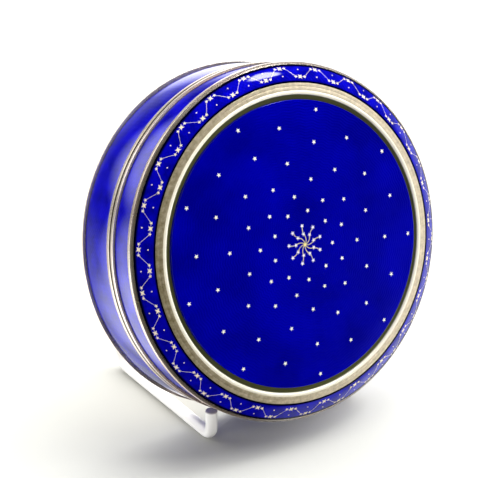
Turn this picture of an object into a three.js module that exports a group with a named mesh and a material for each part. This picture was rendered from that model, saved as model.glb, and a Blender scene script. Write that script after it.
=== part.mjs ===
// A round enamelled powder box with a lift-off lid, leaning back in its display easel.
// Millimetres, +Z up, standing on z = 0. The lid faces -Y and leans back towards +Y.
import * as THREE from 'three';

// Fits and walls
const seatGap = 0.3;
const metalWall = 0.8;
const enamelThickness = 0.5;
const roundSteps = 60;

// Box, measured along its own axis from the flat back
const rimRadius = 40;
const edgeStep = 0.2;
const enamelStep = 0.3;
const baseHeight = 12.95;
const backEdgeHeight = 0.45;
const baseLipHeight = 1.3;
const edgeRound = 0.25;

// Collar of the base, which the lid slips over
const collarWall = 0.7;
const collarHeight = 4.2;
const collarDepth = 2.4;

// Lid, from its lip up to the plane of its bright ring
const lidGap = 0.4;
const lidLipHeight = 1.15;
const lidHeight = 12.55;
const rimDrop = 3.4;
const rimWidth = 0.6;
const rimSideHeight = 1.15;

// Rings round the lid's panel, from the shoulder inwards
const shoulderWidth = 4.53;
const ringBandWidth = 1.63;
const ringBeadWidth = 0.9;
const ringBeadHeight = 0.15;
const ringOuterDrop = 0.35;
const ringThickness = 0.95;
const moatWidth = 0.95;
const moatDepth = 0.7;

// Domed panel of the lid
const domeRise = 2.36;
const panelThickness = 1.0;
const panelEdgeRound = 0.45;

// Convex border between ring and rim
const borderCurve = 1.6;
const borderSteps = 4;
const domeSteps = 3;

// Easel, bent from one coated rod
const leanDegrees = 15.7;
const rodRadius = 1.4;
const rodSides = 12;
const armSpacing = 39;
const backLift = 1.0;
const hookFromBack = 10.8;
const armLength = 44.8;
const barHeight = 56;
const hookBend = 2.4;
const footBend = 5;
const barBend = 6;
const bendSteps = 5;

// Heights and radii that follow
const lean = THREE.MathUtils.degToRad(leanDegrees);
const edgeRadius = rimRadius - edgeStep;
const enamelRadius = edgeRadius - enamelStep;
const ringOuterRadius = rimRadius - shoulderWidth;
const ringInnerRadius = ringOuterRadius - ringBandWidth - ringBeadWidth;
const recessRadius = enamelRadius - enamelThickness - seatGap;
const innerRadius = recessRadius - metalWall;
const collarRadius = innerRadius - seatGap;
const lidLow = baseHeight + lidGap;
const ringPlane = lidLow + lidHeight;
const rimLow = ringPlane - rimDrop - rimSideHeight;
const ringLow = ringPlane - ringThickness;
const seatHeight = ringLow - seatGap;
const panelRadius = ringInnerRadius - moatWidth - seatGap;
const borderOuterRadius = rimRadius - rimWidth;

const royalBlue = { color: 0x0808a4, roughness: 0.08, metalness: 0.0 };
const paleGilt = { color: 0xd8c68e, roughness: 0.25, metalness: 1.0 };
const dullGilt = { color: 0xb9a878, roughness: 0.45, metalness: 1.0 };
const whiteCoat = { color: 0xf3f1ec, roughness: 0.35, metalness: 0.0 };

function named(name, geometry, look) {
  const mesh = new THREE.Mesh(geometry, new THREE.MeshStandardMaterial(look));
  mesh.name = name;
  return mesh;
}

// Turns a profile of [radius, height] points about the box's axis.
function turned(profile) {
  const points = profile.map(([radius, height]) => new THREE.Vector2(radius, height));
  const geometry = new THREE.LatheGeometry(points, roundSteps);
  geometry.rotateX(Math.PI / 2);
  return geometry;
}

// A ring's profile closes on its own first point.
function turnedRing(profile) {
  return turned([...profile, profile[0]]);
}

// Height of the domed panel's face over the back, at a radius.
function domeHeight(radius) {
  return ringPlane + domeRise * (1 - (radius / ringInnerRadius) ** 2);
}

// Height of the convex border's face over the back, at a radius.
function borderHeight(radius) {
  const share = Math.max(0, (radius - ringOuterRadius) / (rimRadius - ringOuterRadius));
  return ringPlane - ringOuterDrop - (rimDrop - ringOuterDrop) * share ** borderCurve;
}

// A point at a depth under the convex border's face, square to it.
function underBorder(radius, depth) {
  const step = 0.01;
  const slope = (borderHeight(radius + step) - borderHeight(radius)) / step;
  const length = Math.hypot(1, slope);
  return [radius + (depth * slope) / length, borderHeight(radius) - depth / length];
}

// Radii evenly spaced from one end to the other, both ends included.
function spread(start, end, steps) {
  return Array.from({ length: steps + 1 }, (_, i) => start + ((end - start) * i) / steps);
}

// Cup of silver-gilt with a recess for its enamel and a collar for the lid.
function baseCup() {
  const recessLow = backEdgeHeight;
  const recessHigh = baseHeight - baseLipHeight;
  const collarInner = collarRadius - collarWall;
  return named('base_cup', turned([
    [0, 0],
    [edgeRadius - edgeRound, 0],
    [edgeRadius, edgeRound],
    [edgeRadius, recessLow],
    [recessRadius, recessLow],
    [recessRadius, recessHigh],
    [edgeRadius, recessHigh],
    [edgeRadius, baseHeight],
    [collarRadius, baseHeight],
    [collarRadius, baseHeight + collarHeight],
    [collarInner, baseHeight + collarHeight],
    [collarInner, baseHeight - collarDepth],
    [innerRadius, baseHeight - collarDepth - (innerRadius - collarInner)],
    [innerRadius, metalWall],
    [0, metalWall],
  ]), paleGilt);
}

// A band of enamel that fills a recess between two gilt edges.
function enamelBand(name, low, high) {
  const inner = recessRadius + seatGap;
  return named(name, turnedRing([
    [inner, low + seatGap],
    [enamelRadius, low + seatGap],
    [enamelRadius, high - seatGap],
    [inner, high - seatGap],
  ]), royalBlue);
}

// Lid of silver-gilt: lip, side, rim, and the seats of border, ring and panel.
function lidShell() {
  const underPanel = (radius) => domeHeight(radius) - panelThickness - seatGap;
  const ceiling = (radius) => underPanel(radius) - metalWall;
  const seatRadii = spread(0, panelRadius, domeSteps);
  const borderRadii = spread(borderOuterRadius - seatGap, ringOuterRadius + seatGap, borderSteps);
  const bedDepth = enamelThickness + seatGap;
  return named('lid_shell', turned([
    ...seatRadii.slice(0, -1).map((radius) => [radius, ceiling(radius)]),
    [panelRadius, seatHeight - metalWall],
    [ringOuterRadius - metalWall, seatHeight - metalWall],
    [innerRadius, borderHeight(recessRadius) - bedDepth - metalWall],
    [innerRadius, lidLow],
    [edgeRadius, lidLow],
    [edgeRadius, lidLow + lidLipHeight],
    [recessRadius, lidLow + lidLipHeight],
    [recessRadius, rimLow],
    [edgeRadius, rimLow],
    [rimRadius, rimLow + (rimRadius - edgeRadius)],
    [rimRadius, borderHeight(rimRadius)],
    [borderOuterRadius, borderHeight(borderOuterRadius)],
    ...borderRadii.map((radius) => underBorder(radius, bedDepth)),
    [ringOuterRadius - seatGap, seatHeight],
    [panelRadius, seatHeight],
    ...seatRadii.slice(0, -1).reverse().map((radius) => [radius, underPanel(radius)]),
  ]), paleGilt);
}

// Convex ring of enamel on the lid's shoulder.
function lidBorder() {
  const radii = spread(ringOuterRadius + seatGap, borderOuterRadius - seatGap, borderSteps);
  const face = radii.map((radius) => [radius, borderHeight(radius)]);
  const back = radii.map((radius) => underBorder(radius, enamelThickness));
  return named('lid_border_enamel', turnedRing([...back, ...face.reverse()]), royalBlue);
}

// Gilt ring that holds the panel: a moat, a bright bead and a wide dull band.
function lidRing() {
  const beadTop = ringPlane + ringBeadHeight;
  const beadOuter = ringInnerRadius + ringBeadWidth;
  const moatFloor = ringPlane - moatDepth;
  const bandTop = ringPlane - ringBeadHeight;
  return named('lid_ring', turnedRing([
    [ringInnerRadius - moatWidth, ringLow],
    [ringOuterRadius, ringLow],
    [ringOuterRadius, ringPlane - ringOuterDrop],
    [beadOuter, bandTop],
    [beadOuter - ringBeadHeight, beadTop],
    [ringInnerRadius + ringBeadHeight, beadTop],
    [ringInnerRadius, bandTop],
    [ringInnerRadius - moatWidth / 3, moatFloor],
    [ringInnerRadius - moatWidth, moatFloor],
  ]), dullGilt);
}

// Domed plaque of enamel on metal, set inside the ring.
function lidPanel() {
  const shoulder = panelRadius - panelEdgeRound;
  const radii = spread(0, shoulder, domeSteps);
  const face = radii.map((radius) => [radius, domeHeight(radius)]);
  const back = radii.map((radius) => [radius, domeHeight(radius) - panelThickness]);
  return named('lid_panel', turned([
    ...back,
    [panelRadius, ringLow],
    [panelRadius, domeHeight(shoulder) - panelEdgeRound],
    ...face.reverse(),
  ]), royalBlue);
}

// The centre line of a bent rod: straight between corners, a true arc at each corner.
class BentRod extends THREE.Curve {
  constructor(corners, bends) {
    super();
    this.stations = [corners[0]];
    for (let i = 1; i < corners.length - 1; i += 1) {
      this.stations.push(...arcAtCorner(corners[i - 1], corners[i], corners[i + 1], bends[i - 1]));
    }
    this.stations.push(corners[corners.length - 1]);
  }

  getPoint(t, target = new THREE.Vector3()) {
    const place = t * (this.stations.length - 1);
    const index = Math.min(Math.floor(place), this.stations.length - 2);
    return target.lerpVectors(this.stations[index], this.stations[index + 1], place - index);
  }

  getUtoTmapping(u) {
    return u;
  }
}

// Points of the arc that rounds one corner of the rod's line.
function arcAtCorner(before, corner, after, radius) {
  const inward = before.clone().sub(corner).normalize();
  const outward = after.clone().sub(corner).normalize();
  const half = inward.angleTo(outward) / 2;
  const middle = inward.clone().add(outward).normalize();
  const centre = corner.clone().addScaledVector(middle, radius / Math.sin(half));
  const start = corner.clone().addScaledVector(inward, radius / Math.tan(half)).sub(centre);
  const axis = new THREE.Vector3().crossVectors(outward, inward).normalize();
  const turn = Math.PI - 2 * half;
  return spread(0, turn, bendSteps).map((angle) => start.clone().applyAxisAngle(axis, angle).add(centre));
}

// One rod: hook, arm on the floor, rear leg, bar behind the box, and back again.
function easel() {
  const side = armSpacing / 2;
  const backHeight = backLift + edgeRadius * Math.cos(lean);
  const drop = Math.sqrt(enamelRadius ** 2 - side ** 2);
  const hookPlace = -hookFromBack * Math.cos(lean) - drop * Math.sin(lean);
  const sideHeight = backHeight - hookPlace * Math.tan(lean) - drop / Math.cos(lean);
  const sideSlope = Math.hypot(Math.tan(lean), side / drop / Math.cos(lean));
  const tipHeight = sideHeight - rodRadius * sideSlope - seatGap;
  const footPlace = hookPlace + armLength;
  const barPlace = (barHeight - backHeight) * Math.tan(lean) + (rodRadius + seatGap) / Math.cos(lean);
  const left = [
    new THREE.Vector3(-side, hookPlace, tipHeight),
    new THREE.Vector3(-side, hookPlace, rodRadius),
    new THREE.Vector3(-side, footPlace, rodRadius),
    new THREE.Vector3(-side, barPlace, barHeight),
  ];
  const right = left.map((point) => new THREE.Vector3(-point.x, point.y, point.z)).reverse();
  const bends = [hookBend, footBend, barBend, barBend, footBend, hookBend];
  const line = new BentRod([...left, ...right], bends);
  const halfSide = Math.PI / rodSides;
  const section = new THREE.Shape().absarc(0, 0, rodRadius, halfSide, halfSide + 2 * Math.PI);
  const geometry = new THREE.ExtrudeGeometry(section, {
    curveSegments: rodSides / 2,
    steps: line.stations.length - 1,
    extrudePath: line,
    bevelEnabled: false,
  });
  return named('display_easel', geometry, whiteCoat);
}

// The box leans back on the easel: its axis points forwards and a little up.
function leaningBox() {
  const box = new THREE.Group();
  box.add(baseCup());
  box.add(enamelBand('base_band_enamel', backEdgeHeight, baseHeight - baseLipHeight));
  box.add(lidShell());
  box.add(enamelBand('lid_band_enamel', lidLow + lidLipHeight, rimLow));
  box.add(lidBorder());
  box.add(lidRing());
  box.add(lidPanel());
  box.rotation.x = Math.PI / 2 - lean;
  box.position.z = backLift + edgeRadius * Math.cos(lean);
  return box;
}

const part = new THREE.Group();
part.add(leaningBox());
part.add(easel());

// The origin is the middle of the footprint, on the surface it stands on.
part.updateMatrixWorld(true);
const extent = new THREE.Box3().setFromObject(part, true);
const middle = extent.getCenter(new THREE.Vector3());
part.position.set(-middle.x, -middle.y, -extent.min.z);

export default part;
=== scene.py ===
import math

import bpy
from mathutils import Matrix, Vector


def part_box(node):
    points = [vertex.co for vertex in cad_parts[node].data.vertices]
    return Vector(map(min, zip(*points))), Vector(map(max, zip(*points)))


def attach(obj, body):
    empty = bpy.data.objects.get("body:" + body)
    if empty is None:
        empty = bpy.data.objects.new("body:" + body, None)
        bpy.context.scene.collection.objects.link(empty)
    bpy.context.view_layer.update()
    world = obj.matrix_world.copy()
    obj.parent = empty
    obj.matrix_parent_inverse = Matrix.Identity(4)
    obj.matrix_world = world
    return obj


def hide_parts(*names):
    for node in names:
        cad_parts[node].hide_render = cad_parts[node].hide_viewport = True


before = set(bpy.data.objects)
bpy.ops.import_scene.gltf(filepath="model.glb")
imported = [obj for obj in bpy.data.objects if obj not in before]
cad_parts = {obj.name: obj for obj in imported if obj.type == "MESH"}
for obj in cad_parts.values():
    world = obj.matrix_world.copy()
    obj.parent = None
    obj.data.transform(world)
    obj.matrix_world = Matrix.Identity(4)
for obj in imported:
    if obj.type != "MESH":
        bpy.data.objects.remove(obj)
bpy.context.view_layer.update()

# The cup of the base: silver, spun and turned on a lathe, then fire-gilt. Its side is cut back between two gilt
# edges for the enamel, and a thin collar stands up inside its lip for the lid to slip over.

MM = 0.001
ROUND_STEPS = 240

back_edge_height = 0.45
edge_round = 0.25
metal_wall = 0.8
collar_wall = 0.7
collar_depth = 2.4
back_recess = 0.15
back_foot_width = 2.6


def middle(node):
    """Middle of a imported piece's box."""
    low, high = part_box(node)
    return (low + high) / 2


band_middle = middle("base_band_enamel")
box_axis = (middle("lid_band_enamel") - band_middle).normalized()
lean_turn = math.atan2(-box_axis.y, box_axis.z)


def heights_along_axis(node, start):
    """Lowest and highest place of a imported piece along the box's axis, in millimetres from a start point."""
    heights = [(v.co - start).dot(box_axis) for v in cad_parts[node].data.vertices]
    return min(heights) / MM, max(heights) / MM


def greatest_radius(node):
    """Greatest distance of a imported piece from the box's axis, in millimetres."""
    offsets = [v.co - band_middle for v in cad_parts[node].data.vertices]
    return max((offset - box_axis * offset.dot(box_axis)).length for offset in offsets) / MM


back_drop = heights_along_axis("base_cup", band_middle)[0]
back_middle = band_middle + box_axis * back_drop * MM

edge_radius = greatest_radius("base_cup")
enamel_radius = greatest_radius("base_band_enamel")
enamel_bed_radius = enamel_radius - 1.0
inner_radius = enamel_radius - 1.6
collar_radius = inner_radius - 0.3
collar_top = heights_along_axis("base_cup", back_middle)[1]
base_lip_low = heights_along_axis("base_band_enamel", back_middle)[1] + 0.3
base_height = base_lip_low + 1.3


def deselect():
    """An operator acts on all that is selected, so nothing may stay selected before a new piece."""
    bpy.ops.object.select_all(action="DESELECT")


def turned(name, profile):
    """Draws a profile of (radius, height) points in mm, one extruded edge at a time, and spins it round Z."""
    deselect()
    bpy.ops.mesh.primitive_plane_add(size=MM)
    piece = bpy.context.object
    piece.name = name
    bpy.ops.object.mode_set(mode="EDIT")
    bpy.ops.mesh.select_mode(type="VERT")
    bpy.ops.mesh.merge(type="CENTER")
    places = [Vector((radius, 0, height)) * MM for radius, height in profile]
    bpy.ops.transform.translate(value=places[0])
    for here, there in zip(places, places[1:]):
        bpy.ops.mesh.extrude_vertices_move(TRANSFORM_OT_translate={"value": there - here})
    bpy.ops.mesh.select_all(action="SELECT")
    bpy.ops.mesh.spin(steps=ROUND_STEPS, angle=2 * math.pi, center=(0, 0, 0), axis=(0, 0, 1))
    bpy.ops.mesh.select_all(action="SELECT")
    bpy.ops.mesh.remove_doubles(threshold=0.001 * MM)
    bpy.ops.mesh.normals_make_consistent(inside=False)
    bpy.ops.object.mode_set(mode="OBJECT")
    return piece


def soften_edges(piece, width, segments=3, sharpest=30):
    """Rounds the edges of a piece by a Bevel modifier and smooths what is left."""
    bevel = piece.modifiers.new("edges", "BEVEL")
    bevel.width = width * MM
    bevel.segments = segments
    bevel.limit_method = "ANGLE"
    bevel.angle_limit = math.radians(sharpest)
    bpy.context.view_layer.objects.active = piece
    bpy.ops.object.modifier_apply(modifier=bevel.name)
    bpy.ops.object.shade_smooth_by_angle(angle=math.radians(40))


def lean_back(piece):
    """Turns an upright piece into the leaning box's place and leaves that place in its mesh."""
    deselect()
    piece.select_set(True)
    bpy.context.view_layer.objects.active = piece
    piece.rotation_euler = (lean_turn, 0, 0)
    piece.location = back_middle
    bpy.ops.object.transform_apply(location=True, rotation=True, scale=True)


def finished(piece, material, slot, *nodes):
    """Gives a piece its material and its body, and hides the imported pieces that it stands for."""
    piece.data.materials.clear()
    piece.data.materials.append(material)
    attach(piece, "root")
    if nodes:
        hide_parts(*nodes)


def linear(code):
    """An sRGB hex colour as the linear colour that a shader takes."""
    shares = [int(code[i:i + 2], 16) / 255 for i in (0, 2, 4)]
    return (*(s / 12.92 if s <= 0.04045 else ((s + 0.055) / 1.055) ** 2.4 for s in shares), 1.0)


def add(tree, kind, inputs=None, **settings):
    """Adds a node with its settings. An input is given a value, or another node's output to link."""
    made = tree.nodes.new(kind)
    for name, value in settings.items():
        setattr(made, name, value)
    for socket, value in (inputs or {}).items():
        if isinstance(value, bpy.types.NodeSocket):
            tree.links.new(value, made.inputs[socket])
        else:
            made.inputs[socket].default_value = value
    return made


def new_material(name):
    """An empty material with its Principled shader linked to the output."""
    material = bpy.data.materials.new(name)
    material.use_nodes = True
    tree = material.node_tree
    tree.nodes.clear()
    shader = add(tree, "ShaderNodeBsdfPrincipled")
    add(tree, "ShaderNodeOutputMaterial", {"Surface": shader.outputs["BSDF"]})
    return material, tree, shader


def upright_place(tree):
    """Place on the box in millimetres, as if it stood upright: Z runs up its axis from the flat back."""
    here = add(tree, "ShaderNodeTexCoord").outputs["Object"]
    turn = (lean_turn, 0, 0)
    inputs = {"Vector": here, "Location": back_middle, "Rotation": turn, "Scale": (MM, MM, MM)}
    return add(tree, "ShaderNodeMapping", inputs, vector_type="TEXTURE").outputs["Vector"]


def math_of(tree, operation, first, second=0.0, third=0.0):
    """The result of one Math node."""
    return add(tree, "ShaderNodeMath", {0: first, 1: second, 2: third}, operation=operation).outputs[0]


def radius_and_angle(tree, place):
    """Distance from the box's axis in mm and angle round it in radians."""
    split = add(tree, "ShaderNodeSeparateXYZ", {"Vector": place})
    across = math_of(tree, "MULTIPLY", split.outputs["X"], split.outputs["X"])
    squares = math_of(tree, "MULTIPLY_ADD", split.outputs["Y"], split.outputs["Y"], across)
    radius = math_of(tree, "SQRT", squares)
    angle = math_of(tree, "ARCTAN2", split.outputs["Y"], split.outputs["X"])
    return radius, angle, split.outputs["Z"]


def silver_gilt(name, pale, rosy, worn, painted_shade, roughness):
    """Silver-gilt: a thin fire-gilt layer over silver, pale where the silver shows through, with a rosy cast where
    copper has come up and olive where it has tarnished. Painted shade darkens the joint, and a painted dark
    reflection darkens the rim's upper face on the left. Lathe lines round the axis draw out its highlights."""
    material, tree, shader = new_material(name)
    place = upright_place(tree)
    radius, angle, height = radius_and_angle(tree, place)
    patches = add(tree, "ShaderNodeTexNoise", {"Vector": place, "Scale": 0.05, "Detail": 2.0})
    stains = add(tree, "ShaderNodeTexNoise", {"Vector": place, "Scale": 0.1, "Detail": 5.0, "Roughness": 0.55})
    rosy_share = add(tree, "ShaderNodeMapRange", {"Value": patches.outputs["Fac"], "From Min": 0.4, "From Max": 0.75})
    worn_share = add(tree, "ShaderNodeMapRange", {
        "Value": stains.outputs["Fac"], "From Min": 0.45, "From Max": 0.75, "To Max": 0.6})
    warm = add(tree, "ShaderNodeMix", {
        "Factor": rosy_share.outputs["Result"], "A": linear(pale), "B": linear(rosy)}, data_type="RGBA")
    colour = add(tree, "ShaderNodeMix", {
        "Factor": worn_share.outputs["Result"], "A": warm.outputs["Result"], "B": linear(worn)}, data_type="RGBA")
    # Painted shade: the gilt is painted dark olive close to the joint between lid and base.
    joint_distance = math_of(tree, "ABSOLUTE", math_of(tree, "SUBTRACT", height, (base_height + lid_low) / 2))
    joint_shade = add(tree, "ShaderNodeMapRange", {
        "Value": joint_distance, "From Min": joint_reach, "From Max": joint_reach - 0.2}).outputs["Result"]
    # Painted dark reflection: the rim's upper face is painted dark olive, on the left side only.
    rim_dark_reflection = add(tree, "ShaderNodeMapRange", {
        "Value": height, "From Min": rim_height, "From Max": rim_height + 0.35, "To Max": 0.75}).outputs["Result"]
    across = add(tree, "ShaderNodeSeparateXYZ", {"Vector": place}).outputs["X"]
    dark_reflection_side = add(tree, "ShaderNodeMapRange", {
        "Value": across, "From Min": -5.0, "From Max": -28.0}).outputs["Result"]
    rim_dark_reflection = math_of(tree, "MULTIPLY", rim_dark_reflection, dark_reflection_side)
    shade_painted_colour = add(tree, "ShaderNodeMix", {
        "Factor": math_of(tree, "MAXIMUM", joint_shade, rim_dark_reflection), "A": colour.outputs["Result"], "B": linear(painted_shade)},
        data_type="RGBA")
    lathe_line = 0.16
    outward = math_of(tree, "ADD", radius, height)
    lines = math_of(tree, "SINE", math_of(tree, "MULTIPLY", outward, 2 * math.pi / lathe_line))
    bump = add(tree, "ShaderNodeBump", {"Height": lines, "Strength": 0.25, "Distance": 0.002 * MM})
    tarnish = add(tree, "ShaderNodeMapRange", {
        "Value": stains.outputs["Fac"], "To Min": roughness - 0.06, "To Max": roughness + 0.12})
    tree.links.new(shade_painted_colour.outputs["Result"], shader.inputs["Base Color"])
    tree.links.new(tarnish.outputs["Result"], shader.inputs["Roughness"])
    tree.links.new(bump.outputs["Normal"], shader.inputs["Normal"])
    shader.inputs["Metallic"].default_value = 0.75
    return material


lid_low = heights_along_axis("lid_shell", back_middle)[0]
joint_reach = 0.45
rim_height = heights_along_axis("lid_band_enamel", back_middle)[1] + 1.45
# The last colour is the painted shade of the joint and the painted dark reflection on the rim's top.
gilt = silver_gilt("fire-gilt silver", "e9e0d6", "e6cbc0", "a39c7c", "6a6040", roughness=0.22)

foot_inner = edge_radius - edge_round - back_foot_width
base_metal = turned("base_metal", [
    (0, back_recess),
    (foot_inner - back_recess, back_recess),
    (foot_inner, 0),
    (edge_radius, 0),
    (edge_radius, back_edge_height),
    (enamel_bed_radius, back_edge_height),
    (enamel_bed_radius, base_lip_low),
    (edge_radius, base_lip_low),
    (edge_radius, base_height),
    (collar_radius, base_height),
    (collar_radius, collar_top),
    (collar_radius - collar_wall, collar_top),
    (collar_radius - collar_wall, base_height - collar_depth),
    (inner_radius, base_height - collar_depth - (inner_radius - collar_radius + collar_wall)),
    (inner_radius, metal_wall),
    (0, metal_wall),
])
soften_edges(base_metal, edge_round, segments=4)
lean_back(base_metal)
finished(base_metal, gilt, "silver_gilt", "base_cup")

# The enamel round the base: royal blue glass, fired in thin coats into the recess over engine-turned silver and
# then polished. It swells a little between its edges, where it drew together in the kiln.

base_swell = 0.25
swell_steps = 8


def spread(start, end, steps):
    """Evenly spaced values from start to end, both ends included."""
    return [start + (end - start) * i / steps for i in range(steps + 1)]


def swelling_band(name, low, high, swell, drawn_in=0.0):
    """A band of enamel with a slightly convex face, which may be drawn in towards its upper edge."""
    reach = (high - low) / 2
    face = [(enamel_radius - swell * ((height - low - reach) / reach) ** 2
             - drawn_in * (height - low) / (high - low), height)
            for height in spread(low, high, swell_steps)]
    return turned(name, [(enamel_bed_radius, low), *face, (enamel_bed_radius, high), (enamel_bed_radius, low)])


def blue_enamel(name, deep):
    """Vitreous enamel over engine-turned silver. The glass is smooth and glossy, and the metal under it is rough, so
    the shader's coat is the glass and its body the blue light that comes back from the cuts."""
    material, tree, shader = new_material(name)
    place = upright_place(tree)
    shader.inputs["Base Color"].default_value = linear(deep)
    shader.inputs["Metallic"].default_value = 0.35
    shader.inputs["Roughness"].default_value = 0.5
    shader.inputs["Specular IOR Level"].default_value = 0.0
    shader.inputs["Coat Weight"].default_value = 1.0
    shader.inputs["Coat Roughness"].default_value = 0.04
    shader.inputs["Coat IOR"].default_value = 1.5
    return material, tree, shader, place


def cut_pattern(tree, shader, height, depth, strength):
    """Links an engine-turned pattern of heights from -1 to 1 to the body of the enamel, not to its glassy coat."""
    bump = add(tree, "ShaderNodeBump", {"Height": height, "Strength": strength, "Distance": depth * MM})
    tree.links.new(bump.outputs["Normal"], shader.inputs["Normal"])


def mottled(tree, place, light, dark, size):
    """Colour of the glass where it lies thicker or thinner over its cuts, in patches of a size in mm."""
    patches = add(tree, "ShaderNodeTexNoise", {"Vector": place, "Scale": 1 / size, "Detail": 4.0})
    share = add(tree, "ShaderNodeMapRange", {"Value": patches.outputs["Fac"], "From Min": 0.35, "From Max": 0.65})
    return add(tree, "ShaderNodeMix", {
        "Factor": share.outputs["Result"], "A": linear(dark), "B": linear(light)}, data_type="RGBA").outputs["Result"]


def paint_shade_at_edges(tree, shader, colour, value, edges, reach):
    """Links a colour to the enamel and paints shade and dark reflection on it close to the metal's edges, where the
    glass also lies deepest.
    """
    nearest = None
    for edge in edges:
        distance = math_of(tree, "ABSOLUTE", math_of(tree, "SUBTRACT", value, edge))
        nearest = distance if nearest is None else math_of(tree, "MINIMUM", nearest, distance)
    share = add(tree, "ShaderNodeMapRange", {"Value": nearest, "From Min": reach, "From Max": reach / 2})
    shaded = add(tree, "ShaderNodeMix", {
        "Factor": share.outputs["Result"], "A": colour, "B": linear("00001c")}, data_type="RGBA")
    tree.links.new(shaded.outputs["Result"], shader.inputs["Base Color"])


lid_band_low = heights_along_axis("lid_band_enamel", back_middle)[0] - 0.3
lid_band_high = heights_along_axis("lid_band_enamel", back_middle)[1] + 0.3
side_enamel, tree, shader, place = blue_enamel("blue enamel over upright cuts", "0000c8")
radius, angle, height = radius_and_angle(tree, place)
side_cuts = 220
side_wave = 1.1
waver = math_of(tree, "SINE", math_of(tree, "MULTIPLY", height, 2 * math.pi / side_wave))
turning = math_of(tree, "MULTIPLY_ADD", angle, side_cuts, waver)
cut_pattern(tree, shader, math_of(tree, "SINE", turning), depth=0.03, strength=0.5)
glass = mottled(tree, place, "0c06b4", "04028c", size=4.0)
# Painted shade and dark reflection along the gilt edges of both bands.
paint_shade_at_edges(tree, shader, glass, height, (back_edge_height, base_lip_low, lid_band_low, lid_band_high), 0.4)

base_enamel = swelling_band("base_enamel", back_edge_height, base_lip_low, base_swell)
soften_edges(base_enamel, 0.06, segments=2)
lean_back(base_enamel)
finished(base_enamel, side_enamel, "blue_enamel", "base_band_enamel")

# The lid's shell: silver-gilt like the cup, with a lip below, a side cut back for enamel, a rounded rim and the beds
# of border, ring and panel. Inside it is open and bare, with a wall as thin as the cup's.

rim_radius = greatest_radius("lid_shell")
rim_width = 0.6
rim_step = rim_radius - edge_radius

ring_outer_radius = greatest_radius("lid_ring")
ring_band_width = 1.63
ring_bead_width = 0.9
bead_inner_radius = ring_outer_radius - ring_band_width - ring_bead_width
ring_low, ring_top = heights_along_axis("lid_ring", back_middle)
ring_plane = ring_top - 0.15
ring_drop = 0.35
rim_drop = 3.4
border_curve = 1.6
panel_thickness = 1.0
enamel_depth = 0.5
moat_width = 1.1
panel_radius = bead_inner_radius - moat_width
dome_top = heights_along_axis("lid_panel", back_middle)[1]
dome_steps = 14
border_steps = 16


def dome_height(radius):
    """Height of the domed panel's face at a radius, in mm."""
    return ring_plane + (dome_top - ring_plane) * (1 - (radius / bead_inner_radius) ** 2)


def border_height(radius):
    """Height of the convex border's face at a radius, in mm."""
    share = max(0.0, (radius - ring_outer_radius) / (rim_radius - ring_outer_radius))
    return ring_plane - ring_drop - (rim_drop - ring_drop) * share ** border_curve


def border_slope(radius):
    """How steeply the border's face falls at a radius."""
    step = 0.01
    return (border_height(radius - step) - border_height(radius + step)) / (2 * step)


border_outer_radius = rim_radius - rim_width
bed_radii = spread(border_outer_radius, ring_outer_radius, border_steps)
ceiling_radii = spread(0, panel_radius, dome_steps)
lid_metal = turned("lid_metal", [
    *((radius, dome_height(radius) - panel_thickness - metal_wall) for radius in ceiling_radii[:-1]),
    (panel_radius, ring_low - metal_wall),
    (ring_outer_radius - metal_wall, ring_low - metal_wall),
    (inner_radius, border_height(inner_radius) - enamel_depth - metal_wall - 0.6),
    (inner_radius, lid_low),
    (edge_radius, lid_low),
    (edge_radius, lid_band_low),
    (enamel_bed_radius, lid_band_low),
    (enamel_bed_radius, lid_band_high),
    (edge_radius, lid_band_high),
    (rim_radius, lid_band_high + rim_step),
    (rim_radius, border_height(rim_radius)),
    (border_outer_radius, border_height(border_outer_radius)),
    *((radius, border_height(radius) - enamel_depth) for radius in bed_radii),
    (ring_outer_radius, ring_low),
    (panel_radius, ring_low),
    *((radius, dome_height(radius) - panel_thickness) for radius in reversed(ceiling_radii[:-1])),
])
soften_edges(lid_metal, edge_round, segments=4)
lean_back(lid_metal)
finished(lid_metal, gilt, "silver_gilt", "lid_shell")

# The enamel round the lid's side: the same glass and the same upright cuts as on the base, in a narrower band.

lid_swell = 0.15
lid_side_enamel = swelling_band("lid_side_enamel", lid_band_low, lid_band_high, lid_swell, drawn_in=0.75)
soften_edges(lid_side_enamel, 0.06, segments=2)
lean_back(lid_side_enamel)
finished(lid_side_enamel, side_enamel, "blue_enamel", "lid_band_enamel")

# The border: a convex ring of the blue enamel on the lid's shoulder, over metal cut in small grains. It is one
# firing with its garland, whose stars and lines are gold leaf laid under the last coat of glass.

border_steps_out = 24
border_radii = spread(ring_outer_radius, border_outer_radius, border_steps_out)
border = turned("border_enamel", [
    *((radius, border_height(radius)) for radius in border_radii),
    *((radius, border_height(radius) - enamel_depth) for radius in reversed(border_radii)),
    (ring_outer_radius, border_height(ring_outer_radius)),
])
deselect()
border.select_set(True)
bpy.context.view_layer.objects.active = border
bpy.ops.object.shade_smooth_by_angle(angle=math.radians(40))

border_enamel, tree, shader, place = blue_enamel("blue enamel over a grained border", "0000c8")
radius, angle, height = radius_and_angle(tree, place)
grains_round = 240
grain_pitch = 0.9
across_grain = math_of(tree, "SINE", math_of(tree, "MULTIPLY", radius, 2 * math.pi / grain_pitch))
along_grain = math_of(tree, "SINE", math_of(tree, "MULTIPLY", angle, grains_round))
grains = math_of(tree, "MULTIPLY", across_grain, along_grain)
cut_pattern(tree, shader, grains, depth=0.04, strength=0.6)
glass = mottled(tree, place, "0604b8", "02028c", size=2.5)
# Painted shade and dark reflection along the ring's and the rim's edges.
paint_shade_at_edges(tree, shader, glass, radius, (ring_outer_radius, border_outer_radius), 0.6)

foil_thickness = 0.03
foil_proud = 0.012


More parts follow.
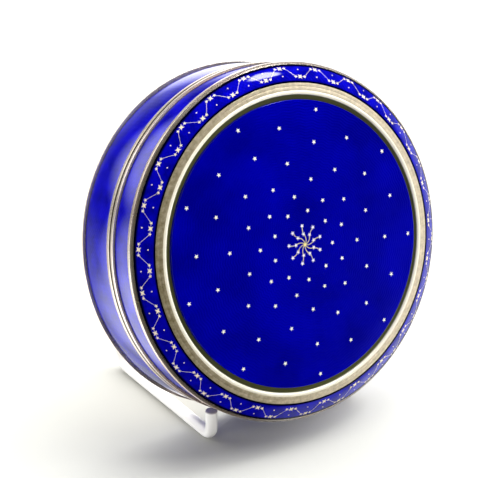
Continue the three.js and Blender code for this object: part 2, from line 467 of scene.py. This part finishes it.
def star(name, across, points, waist):
    """A flat star of gold leaf, punched out with a die: its waist is the share of its reach between two points."""
    deselect()
    bpy.ops.mesh.primitive_circle_add(vertices=2 * points, radius=across * MM / 2, fill_type="TRIFAN")
    piece = bpy.context.object
    piece.name = name
    outer = across * MM / 2
    bpy.ops.object.mode_set(mode="EDIT")
    bpy.ops.mesh.select_all(action="DESELECT")
    bpy.ops.object.mode_set(mode="OBJECT")
    rim = [v for v in piece.data.vertices if v.co.length > outer / 2]
    rim.sort(key=lambda v: math.atan2(v.co.y, v.co.x))
    for vertex in rim[::2]:
        vertex.select = True
    bpy.ops.object.mode_set(mode="EDIT")
    bpy.ops.transform.resize(value=(waist, waist, waist), center_override=(0, 0, 0))
    bpy.ops.object.mode_set(mode="OBJECT")
    return piece


def strip(name, width, steps):
    """A flat strip of gold leaf, 1 mm long along X, cut into short steps so that it can follow a curved face."""
    deselect()
    bpy.ops.mesh.primitive_grid_add(x_subdivisions=steps, y_subdivisions=1, size=MM)
    piece = bpy.context.object
    piece.name = name
    bpy.ops.object.mode_set(mode="EDIT")
    bpy.ops.mesh.select_all(action="SELECT")
    bpy.ops.transform.resize(value=(1, width, 1), center_override=(0, 0, 0))
    bpy.ops.object.mode_set(mode="OBJECT")
    return piece


def laid(pattern, place_matrix, leaves):
    """Lays a copy of a punched leaf in its place and keeps it in a list."""
    copy = pattern.copy()
    copy.data = pattern.data.copy()
    copy.matrix_world = place_matrix
    bpy.context.scene.collection.objects.link(copy)
    leaves.append(copy)


def on_face(radius, angle, height, slope, turn=0.0):
    """Where a leaf lies on a turned face: at a radius and angle, tilted to the slope, and turned in its plane."""
    out = Matrix.Rotation(angle, 4, "Z") @ Matrix.Translation(Vector((radius, 0, height)) * MM)
    return out @ Matrix.Rotation(math.atan(slope), 4, "Y") @ Matrix.Rotation(turn, 4, "Z")


def between(start, end, trim):
    """Where a strip lies that runs from one laid leaf to another, drawn out to end a trim in mm short of both."""
    along = end.translation - start.translation
    upward = (start.to_3x3() @ Vector((0, 0, 1)) + end.to_3x3() @ Vector((0, 0, 1))).normalized()
    forward = along.normalized()
    sideways = upward.cross(forward).normalized()
    upward = forward.cross(sideways)
    turn = Matrix((forward, sideways, upward)).transposed().to_4x4()
    halfway = Matrix.Translation((start.translation + end.translation) / 2)
    return halfway @ turn @ Matrix.Diagonal((along.length / MM - 2 * trim, 1, 1, 1))


def pressed_on(name, leaves, patterns, face):
    """Joins the leaves into one piece, presses it onto an enamel face and gives the leaf its thickness."""
    for pattern in patterns:
        bpy.data.objects.remove(pattern)
    deselect()
    for leaf in leaves:
        leaf.select_set(True)
    bpy.context.view_layer.objects.active = leaves[0]
    bpy.ops.object.join()
    piece = bpy.context.object
    piece.name = name
    bpy.ops.object.transform_apply(location=True, rotation=True, scale=True)
    press = piece.modifiers.new("press", "SHRINKWRAP")
    press.target = face
    press.wrap_method = "NEAREST_SURFACEPOINT"
    press.wrap_mode = "ABOVE_SURFACE"
    press.offset = foil_proud * MM
    bpy.ops.object.modifier_apply(modifier=press.name)
    leaf_wall = piece.modifiers.new("leaf", "SOLIDIFY")
    leaf_wall.thickness = foil_thickness * MM
    leaf_wall.offset = -1
    bpy.ops.object.modifier_apply(modifier=leaf_wall.name)
    return piece


garland_clusters = 26
outer_row_radius = 38.58
inner_row_radius = 36.78
outer_row_start = math.radians(2.1)
cluster_reach = 1.18
dot_out_radius = 38.3
dot_in_radius = 36.95
cluster_turn = 2 * math.pi / garland_clusters

big_star = star("big_star", 1.4, 4, 0.38)
small_star = star("small_star", 0.82, 5, 0.42)
dot = star("dot", 0.34, 4, 0.75)
line_strip = strip("line_strip", 0.06, 6)
leaves = []


def border_place(radius, angle, turn=0.0):
    """Place of a leaf on the border."""
    return on_face(radius, angle, border_height(radius), border_slope(radius), turn)


for k in range(garland_clusters):
    outer_angle = outer_row_start + k * cluster_turn
    inner_angle = outer_angle + cluster_turn / 2
    rows = {"outer": (outer_row_radius, outer_angle), "inner": (inner_row_radius, inner_angle)}
    ends = {}
    for row, (row_radius, row_angle) in rows.items():
        side_turn = cluster_reach / row_radius
        star_turn = math.radians(45) + 0.1 * math.sin(2.0 * k)
        laid(big_star, border_place(row_radius, row_angle, star_turn), leaves)
        for side in (-1, 1):
            ends[row, side] = border_place(row_radius, row_angle + side * side_turn, 0.3 + 0.9 * side + 0.5 * k)
            laid(small_star, ends[row, side], leaves)
        laid(line_strip, between(ends[row, -1], ends[row, 1], 0.2), leaves)
    next_outer = border_place(outer_row_radius, outer_angle + cluster_turn - cluster_reach / outer_row_radius)
    laid(line_strip, between(ends["outer", 1], ends["inner", -1], 0.25), leaves)
    laid(line_strip, between(ends["inner", 1], next_outer, 0.25), leaves)
    laid(dot, border_place(dot_out_radius, inner_angle), leaves)
    laid(dot, border_place(dot_in_radius, outer_angle), leaves)

garland = pressed_on("star_garland", leaves, [big_star, small_star, dot, line_strip], border)


def gold_leaf(name, colour, shade):
    """Gold leaf under a coat of clear glass: bright and a little crumpled, so it shines softly from all sides."""
    material, tree, shader = new_material(name)
    place = upright_place(tree)
    crumple = add(tree, "ShaderNodeTexNoise", {"Vector": place, "Scale": 2.5, "Detail": 2.0})
    tint = add(tree, "ShaderNodeMix", {
        "Factor": crumple.outputs["Fac"], "A": linear(shade), "B": linear(colour)}, data_type="RGBA")
    tree.links.new(tint.outputs["Result"], shader.inputs["Base Color"])
    shader.inputs["Metallic"].default_value = 0.25
    shader.inputs["Roughness"].default_value = 0.45
    return material


border_leaf = gold_leaf("gold leaf of the garland", "fff2d2", "e6d6b4")
for piece in (border, garland):
    lean_back(piece)
finished(border, border_enamel, "blue_enamel", "lid_border_enamel")
finished(garland, border_leaf, "silver_gilt")

# The ring that holds the panel: silver-gilt, turned and burnished. A narrow moat lies next to the panel, then a bright
# half-round bead, then a wide band that is brushed dull, with a fine line in its middle.

bead_steps = 10
bead_radius = ring_bead_width / 2
bead_middle = bead_inner_radius + bead_radius
bead_foot = ring_top - bead_radius
band_line_radius = bead_inner_radius + ring_bead_width + 0.85
band_line_width = 0.12
band_line_depth = 0.06


def band_height(radius):
    """Height of the ring's dull band at a radius, falling a little outwards."""
    share = (radius - bead_middle - bead_radius) / ring_band_width
    return ring_plane - ring_drop * share


bead_arc = [(bead_middle - bead_radius * math.cos(math.radians(turn)),
             bead_foot + bead_radius * math.sin(math.radians(turn))) for turn in spread(0, 150, bead_steps)]
ring = turned("gilt_ring", [
    (panel_radius, ring_low),
    (ring_outer_radius, ring_low),
    (ring_outer_radius, band_height(ring_outer_radius)),
    (band_line_radius + band_line_width / 2, band_height(band_line_radius)),
    (band_line_radius, band_height(band_line_radius) - band_line_depth),
    (band_line_radius - band_line_width / 2, band_height(band_line_radius)),
    (bead_middle + bead_radius + 0.04, band_height(bead_middle + bead_radius)),
    *reversed(bead_arc),
    (bead_inner_radius - 0.25, ring_low + 0.25),
    (panel_radius, ring_low + 0.25),
    (panel_radius, ring_low),
])
soften_edges(ring, 0.05, segments=2, sharpest=50)

ring_gilt, tree, shader = new_material("brushed and burnished silver-gilt")
place = upright_place(tree)
radius, angle, height = radius_and_angle(tree, place)
brushing = add(tree, "ShaderNodeTexNoise", {"Vector": place, "Scale": 0.9, "Detail": 5.0, "Roughness": 0.65})
across = add(tree, "ShaderNodeSeparateXYZ", {"Vector": place}).outputs["X"]
# Painted light: the band is painted brighter towards the right, on top of its brushed streaks.
painted_side_light = add(tree, "ShaderNodeMapRange", {"Value": across, "From Min": -36.0, "From Max": 10.0, "To Max": 0.6})
bead_start = bead_inner_radius + 0.05
on_band = add(tree, "ShaderNodeMapRange", {
    "Value": radius, "From Min": bead_middle + bead_radius - 0.08, "From Max": bead_middle + bead_radius + 0.05})
# Painted shade: the narrow moat next to the panel is painted dark olive, for the shade and dark reflection in it.
moat_shade_share = add(tree, "ShaderNodeMapRange", {
    "Value": radius, "From Min": bead_start, "From Max": bead_start - 0.1})
streaks = add(tree, "ShaderNodeMapRange", {"Value": brushing.outputs["Fac"], "From Min": 0.3, "From Max": 0.7})
streaks_and_side_light = math_of(tree, "MULTIPLY_ADD", streaks.outputs["Result"], 0.4, painted_side_light.outputs["Result"])
band_tone = add(tree, "ShaderNodeMix", {
    "Factor": streaks_and_side_light, "A": linear("786c3e"), "B": linear("fff0d4")}, data_type="RGBA")
toned = add(tree, "ShaderNodeMix", {
    "Factor": on_band.outputs["Result"], "A": linear("fff9e6"), "B": band_tone.outputs["Result"]}, data_type="RGBA")
moat_shade_tone = add(tree, "ShaderNodeMix", {
    "Factor": moat_shade_share.outputs["Result"], "A": toned.outputs["Result"], "B": linear("5e6034")}, data_type="RGBA")
finish = add(tree, "ShaderNodeMapRange", {"Value": on_band.outputs["Result"], "To Min": 0.42, "To Max": 0.5})
metal_share = add(tree, "ShaderNodeMapRange", {"Value": on_band.outputs["Result"], "To Min": 0.3, "To Max": 0.6})
tree.links.new(metal_share.outputs["Result"], shader.inputs["Metallic"])
tree.links.new(moat_shade_tone.outputs["Result"], shader.inputs["Base Color"])
tree.links.new(finish.outputs["Result"], shader.inputs["Roughness"])
brush_line = 0.14
brush = math_of(tree, "SINE", math_of(tree, "MULTIPLY", radius, 2 * math.pi / brush_line))
grain = math_of(tree, "MULTIPLY_ADD", brushing.outputs["Fac"], 2.0, brush)
bump = add(tree, "ShaderNodeBump", {"Height": grain, "Strength": 0.3, "Distance": 0.004 * MM})
tree.links.new(bump.outputs["Normal"], shader.inputs["Normal"])

lean_back(ring)
finished(ring, ring_gilt, "worn_gilt", "lid_ring")

# The panel: a domed silver plaque under the deepest blue enamel, cut with waved rings by a rose engine. It drops into
# the ring from above, and its stars are punched gold leaf under the last coat of glass.

panel_round = 0.2
panel_seat = 0.02
shoulder_radius = panel_radius - panel_round
shoulder_steps = 6
face_radii = spread(0, shoulder_radius, 20)
shoulder_foot = dome_height(shoulder_radius) - panel_round
shoulder = [(shoulder_radius + panel_round * math.sin(math.radians(turn)),
             shoulder_foot + panel_round * math.cos(math.radians(turn))) for turn in spread(0, 90, shoulder_steps)]
panel = turned("domed_panel", [
    *((radius, dome_height(radius)) for radius in face_radii[:-1]),
    *shoulder,
    (panel_radius, ring_low + panel_seat),
    *((radius, dome_height(radius) - panel_thickness + panel_seat) for radius in reversed(face_radii)),
])
deselect()
panel.select_set(True)
bpy.context.view_layer.objects.active = panel
bpy.ops.object.shade_smooth_by_angle(angle=math.radians(40))

panel_enamel, tree, shader, place = blue_enamel("blue enamel over waved rings", "0000b8")
radius, angle, height = radius_and_angle(tree, place)
ring_pitch = 0.62
waves_round = 48
wave_reach = 1.6
wave = math_of(tree, "MULTIPLY", math_of(tree, "SINE", math_of(tree, "MULTIPLY", angle, waves_round)), wave_reach)
rings = math_of(tree, "MULTIPLY_ADD", radius, 2 * math.pi / ring_pitch, wave)
cut_pattern(tree, shader, math_of(tree, "SINE", rings), depth=0.03, strength=0.7)
tree.links.new(mottled(tree, place, "0000a6", "000088", size=14.0), shader.inputs["Base Color"])

star_turn = math.radians(40)
star_rows = [
    (7.75, -8.6), (11.0, 11.8), (14.62, -8.6), (18.43, 11.8), (22.75, -8.6), (26.26, 11.8), (29.87, -8.6),
]
panel_star = star("panel_star", 1.12, 5, 0.42)
leaves = []


def panel_place(radius, angle, turn=0.0):
    """Place of a leaf on the domed panel."""
    slope = 2 * (dome_top - ring_plane) * radius / bead_inner_radius ** 2
    return on_face(radius, angle, dome_height(radius), slope, turn)


for row_radius, row_start in star_rows:
    for k in range(9):
        row_angle = math.radians(row_start) + k * star_turn
        laid(panel_star, panel_place(row_radius, row_angle, math.radians(90) - row_angle), leaves)
panel_stars = pressed_on("panel_stars", leaves, [panel_star], panel)

# The rosette near the panel's middle: nine bent rays of gold leaf wheel out from a small star, and each ends in two
# silver stars, one behind the other. It was laid by hand, a little off the middle.

rosette_start = math.radians(11)
inner_star_radius = 2.4
outer_star_radius = 4.2
ray_width = 0.12
ray_bend = math.radians(80)
link_bend = math.radians(50)
link_gap = 0.42
set_off_middle = Matrix.Translation(Vector((0.45, 0.15, 0)) * MM)


def bent_strip(name, chord, bend, width, steps=8):
    """A strip of gold leaf along X from the middle outwards, spun round the centre of its own bend."""
    reach = chord / (2 * math.sin(abs(bend) / 2))
    side = 1 if bend > 0 else -1
    deselect()
    bpy.ops.mesh.primitive_plane_add(size=MM)
    piece = bpy.context.object
    piece.name = name
    bpy.ops.object.mode_set(mode="EDIT")
    bpy.ops.mesh.select_mode(type="VERT")
    bpy.ops.mesh.merge(type="CENTER")
    first_turn = -bend / 2
    inward = Vector((-math.sin(first_turn), math.cos(first_turn), 0)) * side
    centre = inward * reach * MM
    bpy.ops.transform.translate(value=-inward * width / 2 * MM)
    bpy.ops.mesh.extrude_vertices_move(TRANSFORM_OT_translate={"value": inward * width * MM})
    bpy.ops.mesh.select_all(action="SELECT")
    bpy.ops.mesh.spin(steps=steps, angle=-bend, center=centre, axis=(0, 0, 1))
    bpy.ops.mesh.select_all(action="SELECT")
    bpy.ops.mesh.normals_make_consistent(inside=False)
    bpy.ops.object.mode_set(mode="OBJECT")
    return piece


ray = bent_strip("ray", inner_star_radius, ray_bend, ray_width)
link = bent_strip("link", outer_star_radius - inner_star_radius - 2 * link_gap, -link_bend, ray_width, 4)
centre_star = star("centre_star", 1.1, 9, 0.5)
rosette_star = star("rosette_star", 1.1, 5, 0.4)
gold_leaves = []
silver_leaves = []
laid(centre_star, set_off_middle @ panel_place(0, 0), gold_leaves)
for k in range(9):
    ray_angle = rosette_start + k * star_turn
    laid(ray, set_off_middle @ panel_place(0, 0, ray_angle), gold_leaves)
    laid(link, set_off_middle @ panel_place(inner_star_radius + link_gap, ray_angle), gold_leaves)
    for star_radius in (inner_star_radius, outer_star_radius):
        star_place = panel_place(star_radius, ray_angle, math.radians(90) - ray_angle)
        laid(rosette_star, set_off_middle @ star_place, silver_leaves)
rosette_rays = pressed_on("rosette_rays", gold_leaves, [ray, link, centre_star], panel)
rosette_stars = pressed_on("rosette_stars", silver_leaves, [rosette_star], panel)

star_leaf = gold_leaf("pale gold leaf of the stars", "fffdf4", "f0ead8")
ray_leaf = gold_leaf("yellow gold leaf of the rosette", "fff3a8", "e0cc80")
silver_leaf = gold_leaf("silver leaf of the rosette", "f4f0ff", "d8d2e8")
for piece in (panel, panel_stars, rosette_rays, rosette_stars):
    lean_back(piece)
finished(panel, panel_enamel, "blue_enamel", "lid_panel")
finished(panel_stars, star_leaf, "silver_gilt")
finished(rosette_rays, ray_leaf, "silver_gilt")
finished(rosette_stars, silver_leaf, "silver_gilt")

# The display easel: one steel rod in a white plastic coat, bent to a hook, an arm and a rear leg on each side, with the
# bar that the box leans on between the legs. The hooks' cut ends are painted grey: bare steel, with painted shade
# from the box above them.

rod_radius = 1.4
rod_facet = rod_radius * math.cos(math.pi / 12)
hook_bend = 2.4
foot_bend = 5.0
bar_bend = 6.0
arm_length = 44.68
bend_steps = 12

easel_low, easel_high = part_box("display_easel")
arm_x = easel_high.x / MM - rod_radius
hook_y = easel_low.y / MM + rod_radius
foot_y = hook_y + arm_length
bar_z = easel_high.z / MM - rod_radius
arm_z = rod_radius
hook_points = [v.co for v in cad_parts["display_easel"].data.vertices if v.co.y / MM < hook_y + rod_radius]
tip_z = max(point.z for point in hook_points) / MM
bar_points = [v.co.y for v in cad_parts["display_easel"].data.vertices if v.co.z / MM > bar_z + rod_facet / 2]
bar_y = (min(bar_points) + max(bar_points)) / 2 / MM


def arc_at(before, corner, after, radius):
    """Points of the arc that rounds one corner of a rod's line."""
    inward = (before - corner).normalized()
    outward = (after - corner).normalized()
    half = inward.angle(outward) / 2
    centre = corner + (inward + outward).normalized() * radius / math.sin(half)
    start = corner + inward * radius / math.tan(half) - centre
    axis = outward.cross(inward).normalized()
    return [centre + Matrix.Rotation(turn, 3, axis) @ start for turn in spread(0, math.pi - 2 * half, bend_steps)]


left = [Vector(place) for place in (
    (-arm_x, hook_y, tip_z), (-arm_x, hook_y, arm_z), (-arm_x, foot_y, arm_z), (-arm_x, bar_y, bar_z))]
right = [Vector((-point.x, point.y, point.z)) for point in reversed(left)]
corners = left + right
bends = [hook_bend, foot_bend, bar_bend, bar_bend, foot_bend, hook_bend]
line = [corners[0]]
for before, corner, after, bend in zip(corners, corners[1:], corners[2:], bends):
    line.extend(arc_at(before, corner, after, bend))
line.append(corners[-1])

rod_curve = bpy.data.curves.new("easel_rod", "CURVE")
rod_curve.dimensions = "3D"
rod_curve.bevel_depth = rod_radius * MM
rod_curve.bevel_resolution = 6
rod_curve.use_fill_caps = True
rod_line = rod_curve.splines.new("POLY")
rod_line.points.add(len(line) - 1)
for point, place in zip(rod_line.points, line):
    point.co = (*(place * MM), 1.0)
rod = bpy.data.objects.new("easel_rod", rod_curve)
bpy.context.scene.collection.objects.link(rod)
deselect()
rod.select_set(True)
bpy.context.view_layer.objects.active = rod
bpy.ops.object.convert(target="MESH")
rod = bpy.context.object
bpy.ops.object.mode_set(mode="EDIT")
bpy.ops.mesh.select_all(action="SELECT")
bpy.ops.mesh.remove_doubles(threshold=0.001 * MM)
bpy.ops.mesh.normals_make_consistent(inside=False)
bpy.ops.object.mode_set(mode="OBJECT")
soften_edges(rod, 0.2, segments=3, sharpest=60)

white_coat, tree, shader = new_material("white plastic dip coat on steel rod")
here = add(tree, "ShaderNodeTexCoord").outputs["Object"]
dip = add(tree, "ShaderNodeTexNoise", {"Vector": here, "Scale": 260.0, "Detail": 2.0})
bump = add(tree, "ShaderNodeBump", {"Height": dip.outputs["Fac"], "Strength": 0.25, "Distance": 0.05 * MM})
split = add(tree, "ShaderNodeSeparateXYZ", {"Vector": here})
# The cut ends of the front hooks are painted grey-lavender: bare steel, darkened by painted shade from the box above.
cut_end = add(tree, "ShaderNodeMapRange", {
    "Value": split.outputs["Z"], "From Min": (tip_z - 0.35) * MM, "From Max": (tip_z - 0.1) * MM})
front = add(tree, "ShaderNodeMapRange", {
    "Value": split.outputs["Y"], "From Min": (hook_y + 3 * rod_radius) * MM,
    "From Max": (hook_y + 2 * rod_radius) * MM})
bare_and_shaded = math_of(tree, "MULTIPLY", cut_end.outputs["Result"], front.outputs["Result"])
coat = add(tree, "ShaderNodeMix", {"Factor": bare_and_shaded, "A": linear("f6f4f0"), "B": linear("b4acb2")}, data_type="RGBA")
tree.links.new(coat.outputs["Result"], shader.inputs["Base Color"])
tree.links.new(bump.outputs["Normal"], shader.inputs["Normal"])
shader.inputs["Roughness"].default_value = 0.35
finished(rod, white_coat, "coated_rod", "display_easel")

# The setting: a plain white floor, soft light from above and behind, and a camera at the photograph's angle.

bpy.context.scene.view_settings.view_transform = "Standard"

deselect()
bpy.ops.mesh.primitive_plane_add(size=6.0)
floor = bpy.context.object
floor.name = "floor"
floor_material, tree, shader = new_material("matt pale paper")
shader.inputs["Base Color"].default_value = linear("c2c2bd")
shader.inputs["Roughness"].default_value = 0.9
shader.inputs["Specular IOR Level"].default_value = 0.0
floor.data.materials.append(floor_material)
floor.visible_glossy = False


def soft_sun(name, from_place, width, strength):
    """Even light from a wide patch of the studio, which no glossy face mirrors."""
    sun_data = bpy.data.lights.new(name, "SUN")
    sun_data.angle = math.radians(width)
    sun_data.energy = strength
    sun = bpy.data.objects.new(name, sun_data)
    bpy.context.scene.collection.objects.link(sun)
    sun.rotation_euler = Vector(from_place).to_track_quat("Z", "Y").to_euler()
    sun.visible_glossy = False


soft_sun("key light", (0.75, 0.3, 0.9), 100, 8.5)
soft_sun("left fill light", (-0.9, -0.55, 0.25), 60, 1.5)
soft_sun("right fill light", (0.85, -0.6, 0.25), 60, 1.0)

world = bpy.data.worlds.new("soft studio")
bpy.context.scene.world = world
world.use_nodes = True
tree = world.node_tree
tree.nodes.clear()
direction = add(tree, "ShaderNodeTexCoord").outputs["Generated"]


def glow(towards, core, edge, strength):
    """Light from round one direction: full within the core angle, and soft out to the edge angle, in degrees."""
    aim = Vector(towards).normalized()
    facing = add(tree, "ShaderNodeVectorMath", {0: direction, 1: aim}, operation="DOT_PRODUCT").outputs["Value"]
    return add(tree, "ShaderNodeMapRange", {
        "Value": facing, "From Min": math.cos(math.radians(edge)), "From Max": math.cos(math.radians(core)),
        "To Max": strength}, interpolation_type="SMOOTHSTEP").outputs["Result"]


lights = [
    glow((0.49, -0.17, 0.85), 5, 8, 22.0),
    glow((0.925, -0.05, -0.37), 20, 36, 1.0),
    glow((0.694, -0.324, -0.643), 20, 36, 0.7),
    glow((-0.33, 0.7, -0.63), 12, 36, 0.7),
    glow((-0.88, 0.42, -0.25), 17, 34, 3.0),
    glow((-0.5, 0.7, 0.55), 14, 32, 3.6),
    glow((-0.6, 0.4, -0.8), 14, 35, 3.2),
    glow((0.6, 0.8, -0.05), 10, 26, 2.4),
    glow((0.35, 0.88, -0.3), 20, 42, 0.7),
]
total = lights[0]
for light in lights[1:]:
    total = math_of(tree, "ADD", total, light)
background = add(tree, "ShaderNodeBackground", {"Strength": total})
add(tree, "ShaderNodeOutputWorld", {"Surface": background.outputs["Background"]})

ring_middle = back_middle + box_axis * ring_plane * MM
camera_data = bpy.data.cameras.new("camera")
camera_data.lens = 129.6
camera_data.sensor_width = 36.0
camera = bpy.data.objects.new("camera", camera_data)
bpy.context.scene.collection.objects.link(camera)
camera_place = ring_middle + Vector((-205.55, -292.97, 168.18)) * MM
aim_place = ring_middle + Vector((-8.44, 6.19, 1.12)) * MM
camera.location = camera_place
camera.rotation_euler = (aim_place - camera_place).to_track_quat("-Z", "Y").to_euler()
bpy.context.scene.camera = camera
